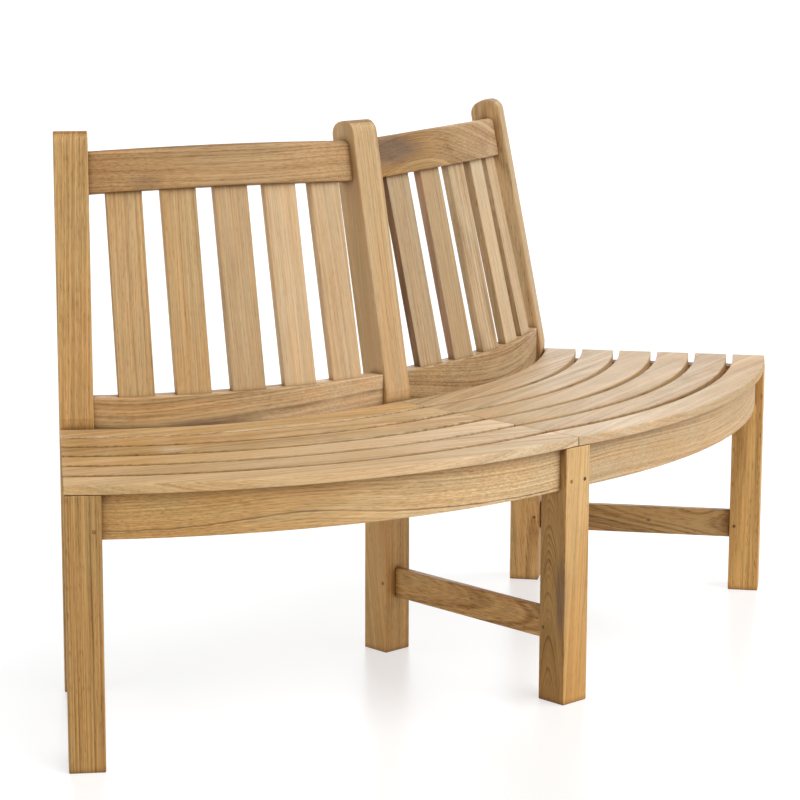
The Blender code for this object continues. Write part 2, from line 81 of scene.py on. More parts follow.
class Tree:
    """A node tree that is written from its sources to its outputs."""

    def __init__(self, tree: bpy.types.NodeTree) -> None:
        """Start writing a tree.

        Args:
            tree: The node tree of a material, a world or a group.
        """
        self.tree = tree

    def add(self, kind: str, inputs: dict[str | int, object] | None = None, **settings: object) -> Node:
        """Add a node.

        Args:
            kind: The node's type, without the leading ShaderNode.
            inputs: What feeds its input sockets, by name or number.
            settings: Its own properties.

        Returns:
            The new node.
        """
        node = self.tree.nodes.new(f"ShaderNode{kind}")
        for name, value in settings.items():
            setattr(node, name, value)
        for key, value in (inputs or {}).items():
            self.feed(node.inputs[key], value)
        return node

    def feed(self, socket: Socket, value: object) -> None:
        """Link a socket to another one, or set its value.

        Args:
            socket: The input socket.
            value: An output socket, a plain value, or None to leave the socket as it is.
        """
        if isinstance(value, Socket):
            self.tree.links.new(value, socket)
        elif value is not None:
            socket.default_value = value

    def maths(self, operation: str, first: object, second: object = None,
              third: object = None, clamp: bool = False) -> Socket:
        """Work out a number.

        Args:
            operation: Name of the Math node's operation.
            first: First number or socket.
            second: Second number or socket, if the operation has one.
            third: Third number or socket, if the operation has one.
            clamp: Whether the result is kept between 0 and 1.

        Returns:
            The result.
        """
        node = self.add("Math", operation=operation, use_clamp=clamp)
        for index, value in enumerate((first, second, third)):
            self.feed(node.inputs[index], value)
        return node.outputs[0]

    def vector(self, operation: str, first: object, second: object = None,
               third: object = None) -> Node:
        """Work out a vector.

        Args:
            operation: Name of the Vector Math node's operation.
            first: First vector or socket.
            second: Second vector or socket, if the operation has one.
            third: Third vector or socket, if the operation has one.

        Returns:
            The node, whose first output is a vector and whose second one is a number.
        """
        node = self.add("VectorMath", operation=operation)
        for index, value in enumerate((first, second, third)):
            self.feed(node.inputs[index], value)
        return node

    def centred(self, value: Socket, weight: object) -> Socket:
        """A value from 0 to 1, brought round 0 and weighted."""
        return self.maths("MULTIPLY", self.maths("SUBTRACT", value, 0.5), weight)

    def noise(self, place: Socket, kind: Noise, shift: Socket) -> Socket:
        """Noise that is drawn out along the grain.

        Args:
            place: Place in the log, in metres.
            kind: The noise.
            shift: Offset that makes each board differ.

        Returns:
            The noise, from 0 to 1.
        """
        moved = self.vector("MULTIPLY_ADD", place, kind.waves, shift).outputs[0]
        node = self.add("TexNoise", {"Vector": moved, "Scale": 1.0, "Detail": kind.octaves,
                                     "Roughness": kind.roughness}, noise_dimensions="3D")
        return node.outputs["Fac"]

    def line_noise(self, value: Socket, waves: float, shift: Socket) -> Socket:
        """Noise along a single length.

        Args:
            value: The length, in metres.
            waves: Waves per metre.
            shift: Offset that makes each board differ.

        Returns:
            The noise, from 0 to 1.
        """
        moved = self.maths("MULTIPLY_ADD", value, waves, shift)
        node = self.add("TexNoise", {"W": moved, "Scale": 1.0, "Detail": 1.0}, noise_dimensions="1D")
        return node.outputs["Fac"]

    def remap(self, value: Socket, low: object, high: object, to_low: float = 0.0,
              to_high: float = 1.0) -> Socket:
        """Bring a span of numbers to another span, with soft ends.

        Args:
            value: The number to remap.
            low: Start of its span.
            high: End of its span.
            to_low: Result at the start.
            to_high: Result at the end.

        Returns:
            The remapped number.
        """
        node = self.add("MapRange", interpolation_type="SMOOTHSTEP")
        for index, entry in enumerate((value, low, high, to_low, to_high)):
            self.feed(node.inputs[index], entry)
        return node.outputs[0]

    def mix(self, factor: object, first: object, second: object, blend: str = "MIX") -> Socket:
        """Mix two colours.

        Args:
            factor: Share of the second colour.
            first: First colour.
            second: Second colour.
            blend: How they are mixed.

        Returns:
            The mixed colour.
        """
        node = self.add("Mix", data_type="RGBA", blend_type=blend, clamp_factor=True)
        for index, value in ((0, factor), (6, first), (7, second)):
            self.feed(node.inputs[index], value)
        return node.outputs[2]


class Group(Tree):
    """A shader node group with named inputs and outputs."""

    def __init__(self, name: str, inputs: dict[str, str], outputs: dict[str, str]) -> None:
        """Make an empty group.

        Args:
            name: Name of the group.
            inputs: Its input sockets, with each one's kind: Float, Vector or Color.
            outputs: Its output sockets, in the same form.
        """
        group = bpy.data.node_groups.new(name, "ShaderNodeTree")
        for way, sockets in (("INPUT", inputs), ("OUTPUT", outputs)):
            for label, kind in sockets.items():
                group.interface.new_socket(label, in_out=way, socket_type=f"NodeSocket{kind}")
        super().__init__(group)
        self.into = group.nodes.new("NodeGroupInput").outputs
        self.out = group.nodes.new("NodeGroupOutput").inputs

    def close(self, **results: Socket) -> bpy.types.NodeTree:
        """Link the results to the outputs.

        Args:
            results: The result for each output, by its name.

        Returns:
            The finished group.
        """
        for name, value in results.items():
            self.feed(self.out[name], value)
        return self.tree


# Effects that all boards share

WANDER = Noise((1.7, 12.0, 12.0), 1.0, 0.5)
RIPPLE = Noise((11.0, 45.0, 45.0), 1.0, 0.5)
RING_LINE = Noise((1.5, 360.0, 0.0), 1.0, 0.8)
STREAK = Noise((1.6, 110.0, 110.0), 2.0, 0.6)
THREAD = Noise((5.0, 460.0, 460.0), 1.0, 0.6)
VESSEL = Noise((70.0, 620.0, 620.0), 0.0, 0.5)
FIGURE = Noise((9.0, 26.0, 26.0), 2.0, 0.5)
TINT = Noise((3.5, 36.0, 36.0), 2.0, 0.6)

RIPPLE_RISE = 0.0016
ACROSS_LOG = (0.0, 1.0, 1.0)
SWELL_SHAPE = (0.42, 1.0, 1.0)
UNEVEN_WAVES, UNEVEN_RINGS = 70.0, 2.4
BAND_WAVES = 85.0

# Spans of a ring's growth, from its first wood at 0 to its last at 1
LATE_GROWTH, LATE_STOP, EARLY_END = (0.25, 0.92), (0.93, 1.0), (0.1, 0.55)
RING_STRENGTH = (0.1, 1.0, 0.15, 1.0)
PORE_SPAN, TINT_SPAN = (0.54, 0.74), (0.34, 0.66)

# Where an eased edge starts and is full, and where the painted shade of a gap does, by the masks' own
# measures
EDGE_SPAN, GAP_SHADE_SPAN = (0.99, 0.80), (0.82, 0.42)
EDGE_WIDTH, GAP_SHADE_REACH = 0.0015, 0.018

# Weights in the wood's darkness, where 0 is its pale colour and 1 its deep one
PLAIN_DARK, EDGE_DARK, END_DARK = 0.34, 0.08, 0.50
LINE_DARK, THREAD_DARK, STREAK_DARK, PORE_DARK = 2.0, 1.2, 0.3, 0.5
BAND_DARK, FIGURE_DARK = 1.0, 1.2
LATE_PORES = 0.4

COOL_HUE, WARM_HUE = (0.97, 1.01, 1.02, 1.0), (1.03, 0.985, 0.92, 1.0)
# Painted sheen and shade along a board: the half length over which it swings, and its gain in red, green and
# blue
SHEEN_FADE_HALF, SHEEN_FADE_GAIN = 0.32, (0.08, 0.13, 0.25)
RAGGEDNESS = 0.004
STREAK_FALL, STREAK_BREAKS = (0.15, 1.0, 1.0, 0.0), (0.25, 0.65, 0.35, 1.0)
PATCH_FALL, PATCH_UNEVEN = (0.3, 1.15, 1.0, 0.0), 0.9
STAIN_DEEP, STAIN_DARK = (0.045, 0.022, 0.012, 1.0), 0.6
# Colour that multiplies the wood where painted shade darkens a gap or corner
GAP_SHADE_TINT = (0.46, 0.36, 0.25, 1.0)

ROUGH_PLAIN, ROUGH_DARK, ROUGH_EDGE = 0.50, 0.16, -0.07
STREAK_RISE, THREAD_RISE, PORE_RISE, LATE_RISE = 0.00010, 0.00008, -0.00012, 0.00004

RING_INPUTS = {
    "Place": "Vector", "Shift": "Vector", "Ring Width": "Float", "Wander": "Float",
    "Swell Place": "Vector", "Swell Reach": "Float", "Swell Rise": "Float",
}
TEAK_INPUTS = {
    **RING_INPUTS,
    "Patch Place": "Vector",
    **dict.fromkeys(("Pale", "Deep", "Stain"), "Color"),
    **dict.fromkeys(("End", "Fade", "Ring Depth", "Band Depth", "Fibre Depth", "Streak Radius",
                     "Streak Width", "Streak Share", "Patch Reach", "Patch Share", "Patch Squash"), "Float"),
}


def make_growth_rings() -> bpy.types.NodeTree:
    """Make the annual rings of a log, as a board cut from it shows them.

    Place runs along the log in X, and its heart lies on the line where Y and Z are 0. A swell
    bulges the rings round a point, as they do over a branch or a burr.

    Returns:
        The group. Late is the dark wood of each ring and Early its first, porous wood. Band is
        a broad change of tone from ring to ring, Line a fine one, and Radius the distance from
        the heart, wander and swell included.
    """
    group = Group("growth_rings", RING_INPUTS,
                  {"Late": "Float", "Early": "Float", "Band": "Float", "Line": "Float", "Radius": "Float"})
    place, shift = group.into["Place"], group.into["Shift"]
    wander = group.centred(group.noise(place, WANDER, shift), group.into["Wander"])
    ripple = group.maths("SUBTRACT", group.noise(place, RIPPLE, shift), 0.5)
    wander = group.maths("MULTIPLY_ADD", ripple, RIPPLE_RISE, wander)
    away = group.vector("SUBTRACT", place, group.into["Swell Place"]).outputs[0]
    away = group.vector("MULTIPLY", away, SWELL_SHAPE).outputs[0]
    span = group.maths("DIVIDE", group.vector("LENGTH", away).outputs[1], group.into["Swell Reach"])
    bulge = group.maths("EXPONENT", group.maths("MULTIPLY", group.maths("MULTIPLY", span, span), -1.0))
    rise = group.maths("MULTIPLY", bulge, group.into["Swell Rise"])
    flat = group.vector("MULTIPLY", place, ACROSS_LOG).outputs[0]
    radius = group.maths("ADD", group.vector("LENGTH", flat).outputs[1],
                         group.maths("ADD", wander, rise))
    uneven = group.line_noise(radius, UNEVEN_WAVES, shift)
    count = group.maths("MULTIPLY_ADD", uneven, UNEVEN_RINGS,
                        group.maths("DIVIDE", radius, group.into["Ring Width"]))
    share = group.maths("FRACT", count)
    grown = group.remap(share, *LATE_GROWTH)
    ended = group.remap(share, *LATE_STOP, 1.0, 0.0)
    ring = group.add("TexWhiteNoise", {"W": group.maths("FLOOR", count)}, noise_dimensions="1D")
    strength = group.remap(ring.outputs["Value"], *RING_STRENGTH)
    late = group.maths("MULTIPLY", group.maths("MULTIPLY", grown, ended), strength)
    early = group.remap(share, *EARLY_END, 1.0, 0.0)
    band = group.line_noise(radius, BAND_WAVES, shift)
    along = group.add("SeparateXYZ", {0: place}).outputs[0]
    layered = group.add("CombineXYZ", {"X": along, "Y": radius}).outputs[0]
    line = group.noise(layered, RING_LINE, shift)
    return group.close(Late=late, Early=early, Band=band, Line=line, Radius=radius)


def make_fibres() -> bpy.types.NodeTree:
    """Make the fibres, pores and soft figure of the wood.

    Returns:
        The group. Streak is a broad fibre, Thread a fine one, Pore a short dark vessel, Figure a
        soft change of light along the board and Tint a change of hue, all from 0 to 1.
    """
    group = Group("fibres", {"Place": "Vector", "Shift": "Vector"},
                  {"Streak": "Float", "Thread": "Float", "Pore": "Float", "Figure": "Float", "Tint": "Float"})
    streak, thread, vessel, figure, tint = (
        group.noise(group.into["Place"], kind, group.into["Shift"])
        for kind in (STREAK, THREAD, VESSEL, FIGURE, TINT))
    return group.close(Streak=streak, Thread=thread, Pore=group.remap(vessel, *PORE_SPAN),
                       Figure=figure, Tint=group.remap(tint, *TINT_SPAN))


def make_arris() -> bpy.types.NodeTree:
    """Make a mask of the eased edges of a board, where hands and sandpaper have rubbed it.

    Returns:
        The group, whose Edge is 1 on an edge and 0 on a flat face.
    """
    group = Group("arris", {"Width": "Float"}, {"Edge": "Float"})
    round_normal = group.add("Bevel", {"Radius": group.into["Width"]}, samples=4)
    true_normal = group.add("NewGeometry").outputs["Normal"]
    facing = group.vector("DOT_PRODUCT", round_normal.outputs[0], true_normal).outputs[1]
    return group.close(Edge=group.remap(facing, *EDGE_SPAN))


def make_painted_gap_shade() -> bpy.types.NodeTree:
    """Make a mask of painted shade in the narrow gaps and corners, where little light reaches.

    Returns:
        The group, whose output is the painted shade: 1 deep in a gap and 0 on an open face.
    """
    group = Group("painted_gap_shade", {"Reach": "Float"}, {"Hollow": "Float"})
    open_share = group.add("AmbientOcclusion", {"Distance": group.into["Reach"]}, samples=6)
    return group.close(Hollow=group.remap(open_share.outputs["AO"], *GAP_SHADE_SPAN))


class Teak(Group):
    """The teak itself, put together from the shared effects."""

    def __init__(self) -> None:
        """Start the group, with the effects that it draws on."""
        super().__init__("teak", TEAK_INPUTS, {"Colour": "Color", "Roughness": "Float", "Height": "Float"})
        rings, fibres, arris, painted_gap_shade = make_growth_rings(), make_fibres(), make_arris(), make_painted_gap_shade()
        place, shift = self.into["Place"], self.into["Shift"]
        self.ring = self.add("Group", {name: self.into[name] for name in RING_INPUTS},
                             node_tree=rings).outputs
        self.fibre = self.add("Group", {"Place": place, "Shift": shift}, node_tree=fibres).outputs
        self.edge = self.add("Group", {"Width": EDGE_WIDTH}, node_tree=arris).outputs["Edge"]
        # Painted shade in the narrow gaps and corners, from how little of the surroundings a point sees
        self.gap_shade = self.add("Group", {"Reach": GAP_SHADE_REACH}, node_tree=painted_gap_shade).outputs["Hollow"]

    def darkness(self) -> Socket:
        """Add up all that darkens the wood.

        Returns:
            The darkness, 0 for the pale colour and 1 for the deep one.
        """
        into, ring, fibre = self.into, self.ring, self.fibre
        spread = self.maths("MULTIPLY_ADD", ring["Early"], 1.0 - LATE_PORES, LATE_PORES)
        porous = self.maths("MULTIPLY", fibre["Pore"], spread)
        fine = self.maths("ADD", self.centred(ring["Line"], LINE_DARK),
                          self.centred(fibre["Thread"], THREAD_DARK))
        fine = self.maths("ADD", fine, self.centred(fibre["Streak"], STREAK_DARK))
        fine = self.maths("MULTIPLY_ADD", porous, PORE_DARK, fine)
        soft = self.maths("ADD", self.centred(ring["Band"], BAND_DARK),
                          self.centred(fibre["Figure"], FIGURE_DARK))
        dark = self.maths("MULTIPLY_ADD", ring["Late"], into["Ring Depth"], PLAIN_DARK)
        dark = self.maths("MULTIPLY_ADD", soft, into["Band Depth"], dark)
        dark = self.maths("MULTIPLY_ADD", fine, into["Fibre Depth"], dark)
        dark = self.maths("MULTIPLY_ADD", self.edge, EDGE_DARK, dark)
        return self.maths("MULTIPLY_ADD", into["End"], END_DARK, dark, clamp=True)

    def body(self, dark: Socket) -> Socket:
        """Colour the plain wood, with painted sheen that pales and cools it towards one end of the board and
        painted shade that deepens it towards the other.

        Args:
            dark: Darkness of the wood.

        Returns:
            Its colour.
        """
        hue = self.mix(self.fibre["Tint"], COOL_HUE, WARM_HUE)
        colour = self.mix(1.0, self.mix(dark, self.into["Pale"], self.into["Deep"]), hue, "MULTIPLY")
        # Painted sheen and shade along the board: paler and cooler towards one end, deeper towards the other
        along = self.add("SeparateXYZ", {0: self.into["Place"]}).outputs[0]
        swing = self.remap(along, -SHEEN_FADE_HALF, SHEEN_FADE_HALF, -1.0, 1.0)
        swing = self.maths("MULTIPLY", swing, self.into["Fade"])
        gain = self.vector("MULTIPLY_ADD", swing, SHEEN_FADE_GAIN, (1.0, 1.0, 1.0)).outputs[0]
        return self.mix(1.0, colour, gain, "MULTIPLY")

    def streak_share(self) -> Socket:
        """Find the ragged streak that follows the rings.

        Returns:
            Its strength.
        """
        into = self.into
        ragged = self.maths("MULTIPLY_ADD", self.centred(self.fibre["Streak"], 1.0), RAGGEDNESS,
                            self.ring["Radius"])
        offset = self.maths("ABSOLUTE", self.maths("SUBTRACT", ragged, into["Streak Radius"]))
        drawn = self.remap(self.maths("DIVIDE", offset, into["Streak Width"]), *STREAK_FALL)
        broken = self.remap(self.fibre["Figure"], *STREAK_BREAKS)
        return self.maths("MULTIPLY", self.maths("MULTIPLY", drawn, broken), into["Streak Share"])

    def patch_share(self) -> Socket:
        """Find the patch round one place in the wood.

        Returns:
            Its strength.
        """
        into = self.into
        away = self.vector("SUBTRACT", into["Place"], into["Patch Place"]).outputs[0]
        squash = self.add("CombineXYZ", {"X": into["Patch Squash"], "Y": 1.0, "Z": 1.0}).outputs[0]
        away = self.vector("MULTIPLY", away, squash).outputs[0]
        span = self.maths("DIVIDE", self.vector("LENGTH", away).outputs[1], into["Patch Reach"])
        span = self.maths("ADD", span, self.centred(self.fibre["Figure"], PATCH_UNEVEN))
        return self.maths("MULTIPLY", self.remap(span, *PATCH_FALL), into["Patch Share"])

    def finish(self) -> bpy.types.NodeTree:
        """Put the wood together.

        Returns:
            The group, with the wood's Colour, its Roughness and its Height in metres.
        """
        dark, fibre = self.darkness(), self.fibre
        stain = self.mix(self.maths("MULTIPLY", dark, STAIN_DARK), self.into["Stain"], STAIN_DEEP)
        stained = self.maths("MAXIMUM", self.streak_share(), self.patch_share())
        colour = self.mix(stained, self.body(dark), stain)
        # Painted shade: the colour darkens in narrow gaps and corners
        colour = self.mix(self.gap_shade, colour, GAP_SHADE_TINT, "MULTIPLY")
        rough = self.maths("MULTIPLY_ADD", dark, ROUGH_DARK, ROUGH_PLAIN)
        rough = self.maths("MULTIPLY_ADD", self.edge, ROUGH_EDGE, rough)
        height = self.maths("ADD", self.maths("MULTIPLY", fibre["Streak"], STREAK_RISE),
                            self.maths("MULTIPLY", fibre["Thread"], THREAD_RISE))
        height = self.maths("MULTIPLY_ADD", fibre["Pore"], PORE_RISE, height)
        height = self.maths("MULTIPLY_ADD", self.ring["Late"], LATE_RISE, height)
        return self.close(Colour=colour, Roughness=rough, Height=height)


# Finishes

# Red, green and blue of the pale wood, the deep wood and a stain, as shares of the body colour
PALE_SHARES: Triple = (1.30, 1.36, 1.50)
DEEP_SHARES: Triple = (0.52, 0.42, 0.30)
STAIN_SHARES: Triple = (0.46, 0.37, 0.38)

# A board's own chance: where its log's heart lies, how far its grain turns and its noises shift
HEART_ASIDE, HEART_BEHIND = (0.10, 0.22), (0.03, 0.09)
SLOPE_CHANCE, DIVE_CHANCE = (-0.7, 0.7), (-0.8, 0.8)
SHIFT_CHANCE = (-40, 40)

# How squarely a face has to lie to count as end grain or as a narrow side, by its cosine
END_SPAN, SIDE_SPAN = (0.55, 0.9), (0.85, 0.6)
SIDE_BAND_LOSS = 0.7
# Heights over which the foot below the seat takes its painted light, full below and none above
SHADED_FOOT_HEIGHTS = (0.34, 0.50)

WOOD_IOR, WOOD_SPECULAR, WOOD_BUMP = 1.45, 0.4, 0.6


@dataclass(frozen=True)
class Swell:
    """A bulge of the rings over a branch or burr: its place on the face, reach and height."""

    along: float
    across: float
    reach: float
    rise: float


@dataclass(frozen=True)
class Stain:
    """A dark patch, at a place along and across the main face.

    reach is its half width, share its strength, depth how far it lies behind the face and length
    how many times longer than wide it is.
    """

    along: float
    across: float
    reach: float
    share: float
    depth: float = 0.0
    length: float = 2.5


@dataclass(frozen=True)
class Timber:
    """One cut of teak: its tone, where in the log it was sawn, and its marks.

    heart is where the log's heart lies from the middle of the main face: across it and behind
    it. slope turns the grain in the plane of that face and dive sinks it behind the face, both
    in degrees; a board without them takes its own chance. wander is how far the rings stray, and
    rings, bands and fibres are how much these darken the wood. streak is the distance of a dark
    streak from the middle of the face, along the line away from the heart. sides is how much
    darker the narrow sides are, ends how dark the end grain is, and fade how strongly painted
    sheen pales the wood towards one end of the board and painted shade deepens it towards the
    other. The narrow sides can have a tone of their own. The foot below the seat can have painted
    light: a tone and lightness of its own that stand in for the light in the seat's shade.
    """

    tone: Tone = Tone.HONEY
    light: float = 1.0
    heart: tuple[float, float] | None = None
    slope: float | None = None
    dive: float | None = None
    sides: float = 0.0
    ends: float = 1.0
    fade: float = 0.0
    ring_width: float = 0.0048
    wander: float = 0.006
    rings: float = 0.24
    bands: float = 0.25
    fibres: float = 0.70
    swell: Swell = Swell(0.0, 0.0, 1.0, 0.0)
    streak: float | None = None
    streak_width: float = 0.003
    streak_share: float = 0.7
    stain: Stain = Stain(0.0, 0.0, 1.0, 0.0)
    stain_tone: Tone | None = None
    side_tone: Tone | None = None
    side_light: float = 1.0
    side_rings: float = 0.2
    # Painted light on the foot below the seat: a tone that stands in for the light in the seat's shade
    foot_tone: Tone | None = None
    foot_light: float = 1.0

    def colours(self, tone: Tone, light: float) -> dict[str, Opaque]:
        """Find the colours of a face.

        Args:
            tone: The face's body colour.
            light: How light the face is.

        Returns:
            Its pale, deep and stain colours.
        """
        body = tuple(part * light for part in tone.value)
        shares = {"Pale": PALE_SHARES, "Deep": DEEP_SHARES, "Stain": STAIN_SHARES}
        colours = {name: (*(part * share for part, share in zip(body, parts)), 1.0)
                   for name, parts in shares.items()}
        if self.stain_tone:
            colours["Stain"] = (*self.stain_tone.value, 1.0)
        return colours


@dataclass(frozen=True)
class Sawing:
    """How a board was sawn: the log's axes, the way to its heart, and the board's own shift."""

    axes: Matrix
    offset: Vector
    reach: float
    shift: Triple

    def in_log(self, point: Vector) -> Triple:
        """A point of the board, in the log's coordinates."""
        return tuple(self.axes @ point + self.offset)


@dataclass(frozen=True)
class Board:
    """A board of the frame, with the directions of its grain and of its main face."""

    node: str
    slot: str
    grain: Vector
    face: Vector
    timber: Timber

    def axes(self, slope: float, dive: float) -> Matrix:
        """Find the log's axes.

        Args:
            slope: Turn of the grain in the plane of the face, in degrees.
            dive: Tip of the grain out of the face, in degrees.

        Returns:
            A matrix whose rows are the directions along the log, across the face and out of it.
        """
        grain = self.grain.normalized()
        across = self.face.cross(grain).normalized()
        face = grain.cross(across)
        turn = Matrix.Rotation(math.radians(slope), 3, face) @ Matrix.Rotation(math.radians(dive), 3, across)
        return Matrix((turn @ grain, turn @ across, turn @ face))

    def on_face(self, along: float, across: float, near: float = 0.03) -> Vector:
        """Find a place on the main face, also where the board is curved.

        Args:
            along: Distance along the grain from the board's middle.
            across: Distance across the face from the board's middle.
            near: How far along the board its outline is looked at.

        Returns:
            The place, in the board's own coordinates.
        """
        axes = self.axes(0.0, 0.0)
        corners = [axes @ vertex.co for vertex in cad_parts[self.node].data.vertices]
        low, high = (Vector(map(limit, zip(*corners))) for limit in (min, max))
        place = (low + high) / 2 + Vector((along, across, 0.0))
        nearby = [corner.z for corner in corners if abs(corner.x - place.x) < near]
        place.z = max(nearby or [high.z])
        return place @ axes

    def saw(self) -> Sawing:
        """Lay the board in its log, by its cut and otherwise by its own chance.

        Returns:
            How it was sawn, the same in each run.
        """
        chance, cut = random.Random(zlib.crc32(self.node.encode())), self.timber
        heart = cut.heart or (chance.choice((-1, 1)) * chance.uniform(*HEART_ASIDE),
                              chance.uniform(*HEART_BEHIND))
        slope = chance.uniform(*SLOPE_CHANCE) if cut.slope is None else cut.slope
        dive = chance.uniform(*DIVE_CHANCE) if cut.dive is None else cut.dive
        axes = self.axes(slope, dive)
        crest = axes @ self.on_face(0.0, 0.0, near=math.inf)
        offset = Vector((0.0, -heart[0], heart[1])) - crest
        shift = tuple(chance.uniform(*SHIFT_CHANCE) for _ in range(3))
        return Sawing(axes, offset, math.hypot(*heart), shift)

    def marks(self, sawing: Sawing) -> dict[str, object]:
        """Set the marks that lie in the log.

        Args:
            sawing: How the board was sawn.

        Returns:
            Their values, by the teak group's inputs.
        """
        cut, swell, stain = self.timber, self.timber.swell, self.timber.stain
        patch = self.on_face(stain.along, stain.across) - self.face.normalized() * stain.depth
        return {
            "Shift": sawing.shift, "Fade": cut.fade, "Ring Width": cut.ring_width, "Wander": cut.wander,
            "Fibre Depth": cut.fibres,
            "Swell Place": sawing.in_log(self.on_face(swell.along, swell.across)),
            "Swell Reach": swell.reach, "Swell Rise": swell.rise,
            "Streak Radius": sawing.reach + (cut.streak or 0.0), "Streak Width": cut.streak_width,
            "Streak Share": 0.0 if cut.streak is None else cut.streak_share,
            "Patch Place": sawing.in_log(patch), "Patch Squash": 1.0 / stain.length,
            "Patch Reach": stain.reach, "Patch Share": stain.share,
        }

    def tones(self, tree: Tree, where: Socket) -> dict[str, object]:
        """Set the tones of the main face, the narrow sides and the ends, and the painted light on the foot
        below the seat.

        Args:
            tree: The material's tree.
            where: Place on the board, in its own coordinates.

        Returns:
            The values and sockets, by the teak group's inputs.
        """
        cut = self.timber
        normal = tree.add("NewGeometry").outputs["Normal"]
        along, outwards = (tree.vector("DOT_PRODUCT", normal, tuple(way.normalized())).outputs[1]
                           for way in (self.grain, self.face))
        end = tree.remap(tree.maths("ABSOLUTE", along), *END_SPAN, to_high=cut.ends)
        beside = tree.remap(tree.maths("ABSOLUTE", outwards), *SIDE_SPAN)
        tones = {**cut.colours(cut.tone, cut.light), "Ring Depth": cut.rings, "Band Depth": cut.bands,
                 "End": tree.maths("MULTIPLY_ADD", beside, cut.sides, end)}

        def blend(share: Socket, tone: Tone, light: float) -> None:
            """Bring another body colour in, where the share is 1."""
            colours = cut.colours(tone, light)
            for name in ("Pale", "Deep"):
                tones[name] = tree.mix(share, tones[name], colours[name])

        if cut.side_tone:
            blend(beside, cut.side_tone, cut.side_light)
            tones["Ring Depth"] = tree.maths("MULTIPLY_ADD", beside, cut.side_rings - cut.rings, cut.rings)
            tones["Band Depth"] = tree.maths("MULTIPLY_ADD", beside, -SIDE_BAND_LOSS * cut.bands, cut.bands)
        # Painted light: the foot below the seat takes a tone that stands in for the light in the seat's shade
        if cut.foot_tone:
            height = tree.add("SeparateXYZ", {0: where}).outputs[2]
            blend(tree.remap(height, *SHADED_FOOT_HEIGHTS, 1.0, 0.0), cut.foot_tone, cut.foot_light)
        return tones

    def dress(self, teak: bpy.types.NodeTree) -> None:
        """Give the board its wood.

        Args:
            teak: The shared group that makes the wood.
        """
        sawing = self.saw()
        material = bpy.data.materials.new(f"teak_{self.node}")
        material.use_nodes = True
        tree = Tree(material.node_tree)
        where = tree.add("TexCoord").outputs["Object"]
        turn = sawing.axes.to_euler("XYZ")
        place = tree.add("Mapping", {"Vector": where, "Location": tuple(sawing.offset),
                                     "Rotation": tuple(turn)}, vector_type="POINT").outputs[0]
        wood = tree.add("Group", {"Place": place, **self.marks(sawing), **self.tones(tree, where)},
                        node_tree=teak).outputs
        bump = tree.add("Bump", {"Height": wood["Height"], "Strength": WOOD_BUMP, "Distance": 1.0})
        shader = material.node_tree.nodes["Principled BSDF"].inputs
        for name, value in (("Base Color", wood["Colour"]), ("Roughness", wood["Roughness"]),
                            ("Normal", bump.outputs[0]), ("IOR", WOOD_IOR),
                            ("Specular IOR Level", WOOD_SPECULAR)):
            tree.feed(shader[name], value)
        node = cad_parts[self.node]
        node.data.materials.clear()
        node.data.materials.append(material)
        LOG.info("dressed %s", self.node)


# Sub-assemblies

FRAME_TURN = math.radians(36.0)
SECTION_TURN = FRAME_TURN / 2
SLAT_TURN = math.radians(6.0)
RAKE = math.radians(10.9)

Row = tuple[str, str, Vector, Vector]


def outwards(turn: float) -> Vector:
    """Direction from the centre line to the sitter's feet, at a turn about Z."""
    return Vector((math.sin(turn), -math.cos(turn), 0.0))


def sideways(turn: float) -> Vector:
    """Direction along the seat, to the right, at a turn about Z."""
    return Vector((math.cos(turn), math.sin(turn), 0.0))


@dataclass
class Assembly:
    """Boards of the bench that belong together, with their turn about the centre line."""

    side: Side
    turn: float
    timbers: dict[str, Timber]

    def rows(self) -> list[Row]:
        """List the boards.

        Returns:
            Each one's node, slot, grain and main face.
        """
        raise NotImplementedError

    def timber(self, node: str) -> Timber:
        """Find the cut of teak for a board.

        Args:
            node: The board's name.

        Returns:
            The cut with the longest name that the board's name starts with.
        """
        return self.timbers[max((key for key in self.timbers if node.startswith(key)), key=len)]

    def dress(self, teak: bpy.types.NodeTree) -> None:
        """Give every board its wood.

        Args:
            teak: The shared group that makes the wood.
        """
        for row in self.rows():
            Board(*row, timber=self.timber(row[0])).dress(teak)


@dataclass
class RadialFrame(Assembly):
    """A front leg, a back post and the boards and pegs between them, on one radius of the bench.

    lean_share is how far the post's grain follows the rake, as it is sawn from one board.
    """

    lean_share: float = 0.65

    def rows(self) -> list[Row]:
        """List the frame's boards and pegs.

        Returns:
            Each one's node, slot, grain and main face.
        """
        out, beside, name = outwards(self.turn), sideways(self.turn), self.side.value
        lean = RAKE * self.lean_share
        ends = ("middle_left", "middle_right") if self.side is Side.MIDDLE else (name,)
        return [
            (f"front_leg_{name}", "front_leg", UP, out),
            (f"back_post_{name}", "back_post", UP * math.cos(lean) - out * math.sin(lean), out),
            (f"seat_bearer_{name}", "bearer", out, beside),
            (f"stretcher_{name}", "stretcher", out, -beside),
            *((f"stretcher_peg_{name}_{place}", "peg", beside, UP) for place in ("front", "rear")),
            *((f"apron_peg_{end}", "peg", out, UP) for end in ends),
        ]


@dataclass
class SeatSection(Assembly):
    """The seat slats of a section, with the aprons and the bearer under them."""

    slats: int = 6

    def rows(self) -> list[Row]:
        """List the section's boards.

        Returns:
            Each one's node, slot, grain and main face.
        """
        out, beside, name = outwards(self.turn), sideways(self.turn), self.side.value
        return [
            *((f"seat_slat_{name}_{number + 1}", "seat_slat", beside, UP) for number in range(self.slats)),
            (f"front_apron_{name}", "apron", beside, out),
            (f"rear_apron_{name}", "apron", beside, out),
            (f"middle_bearer_{name}", "bearer", out, beside),
        ]


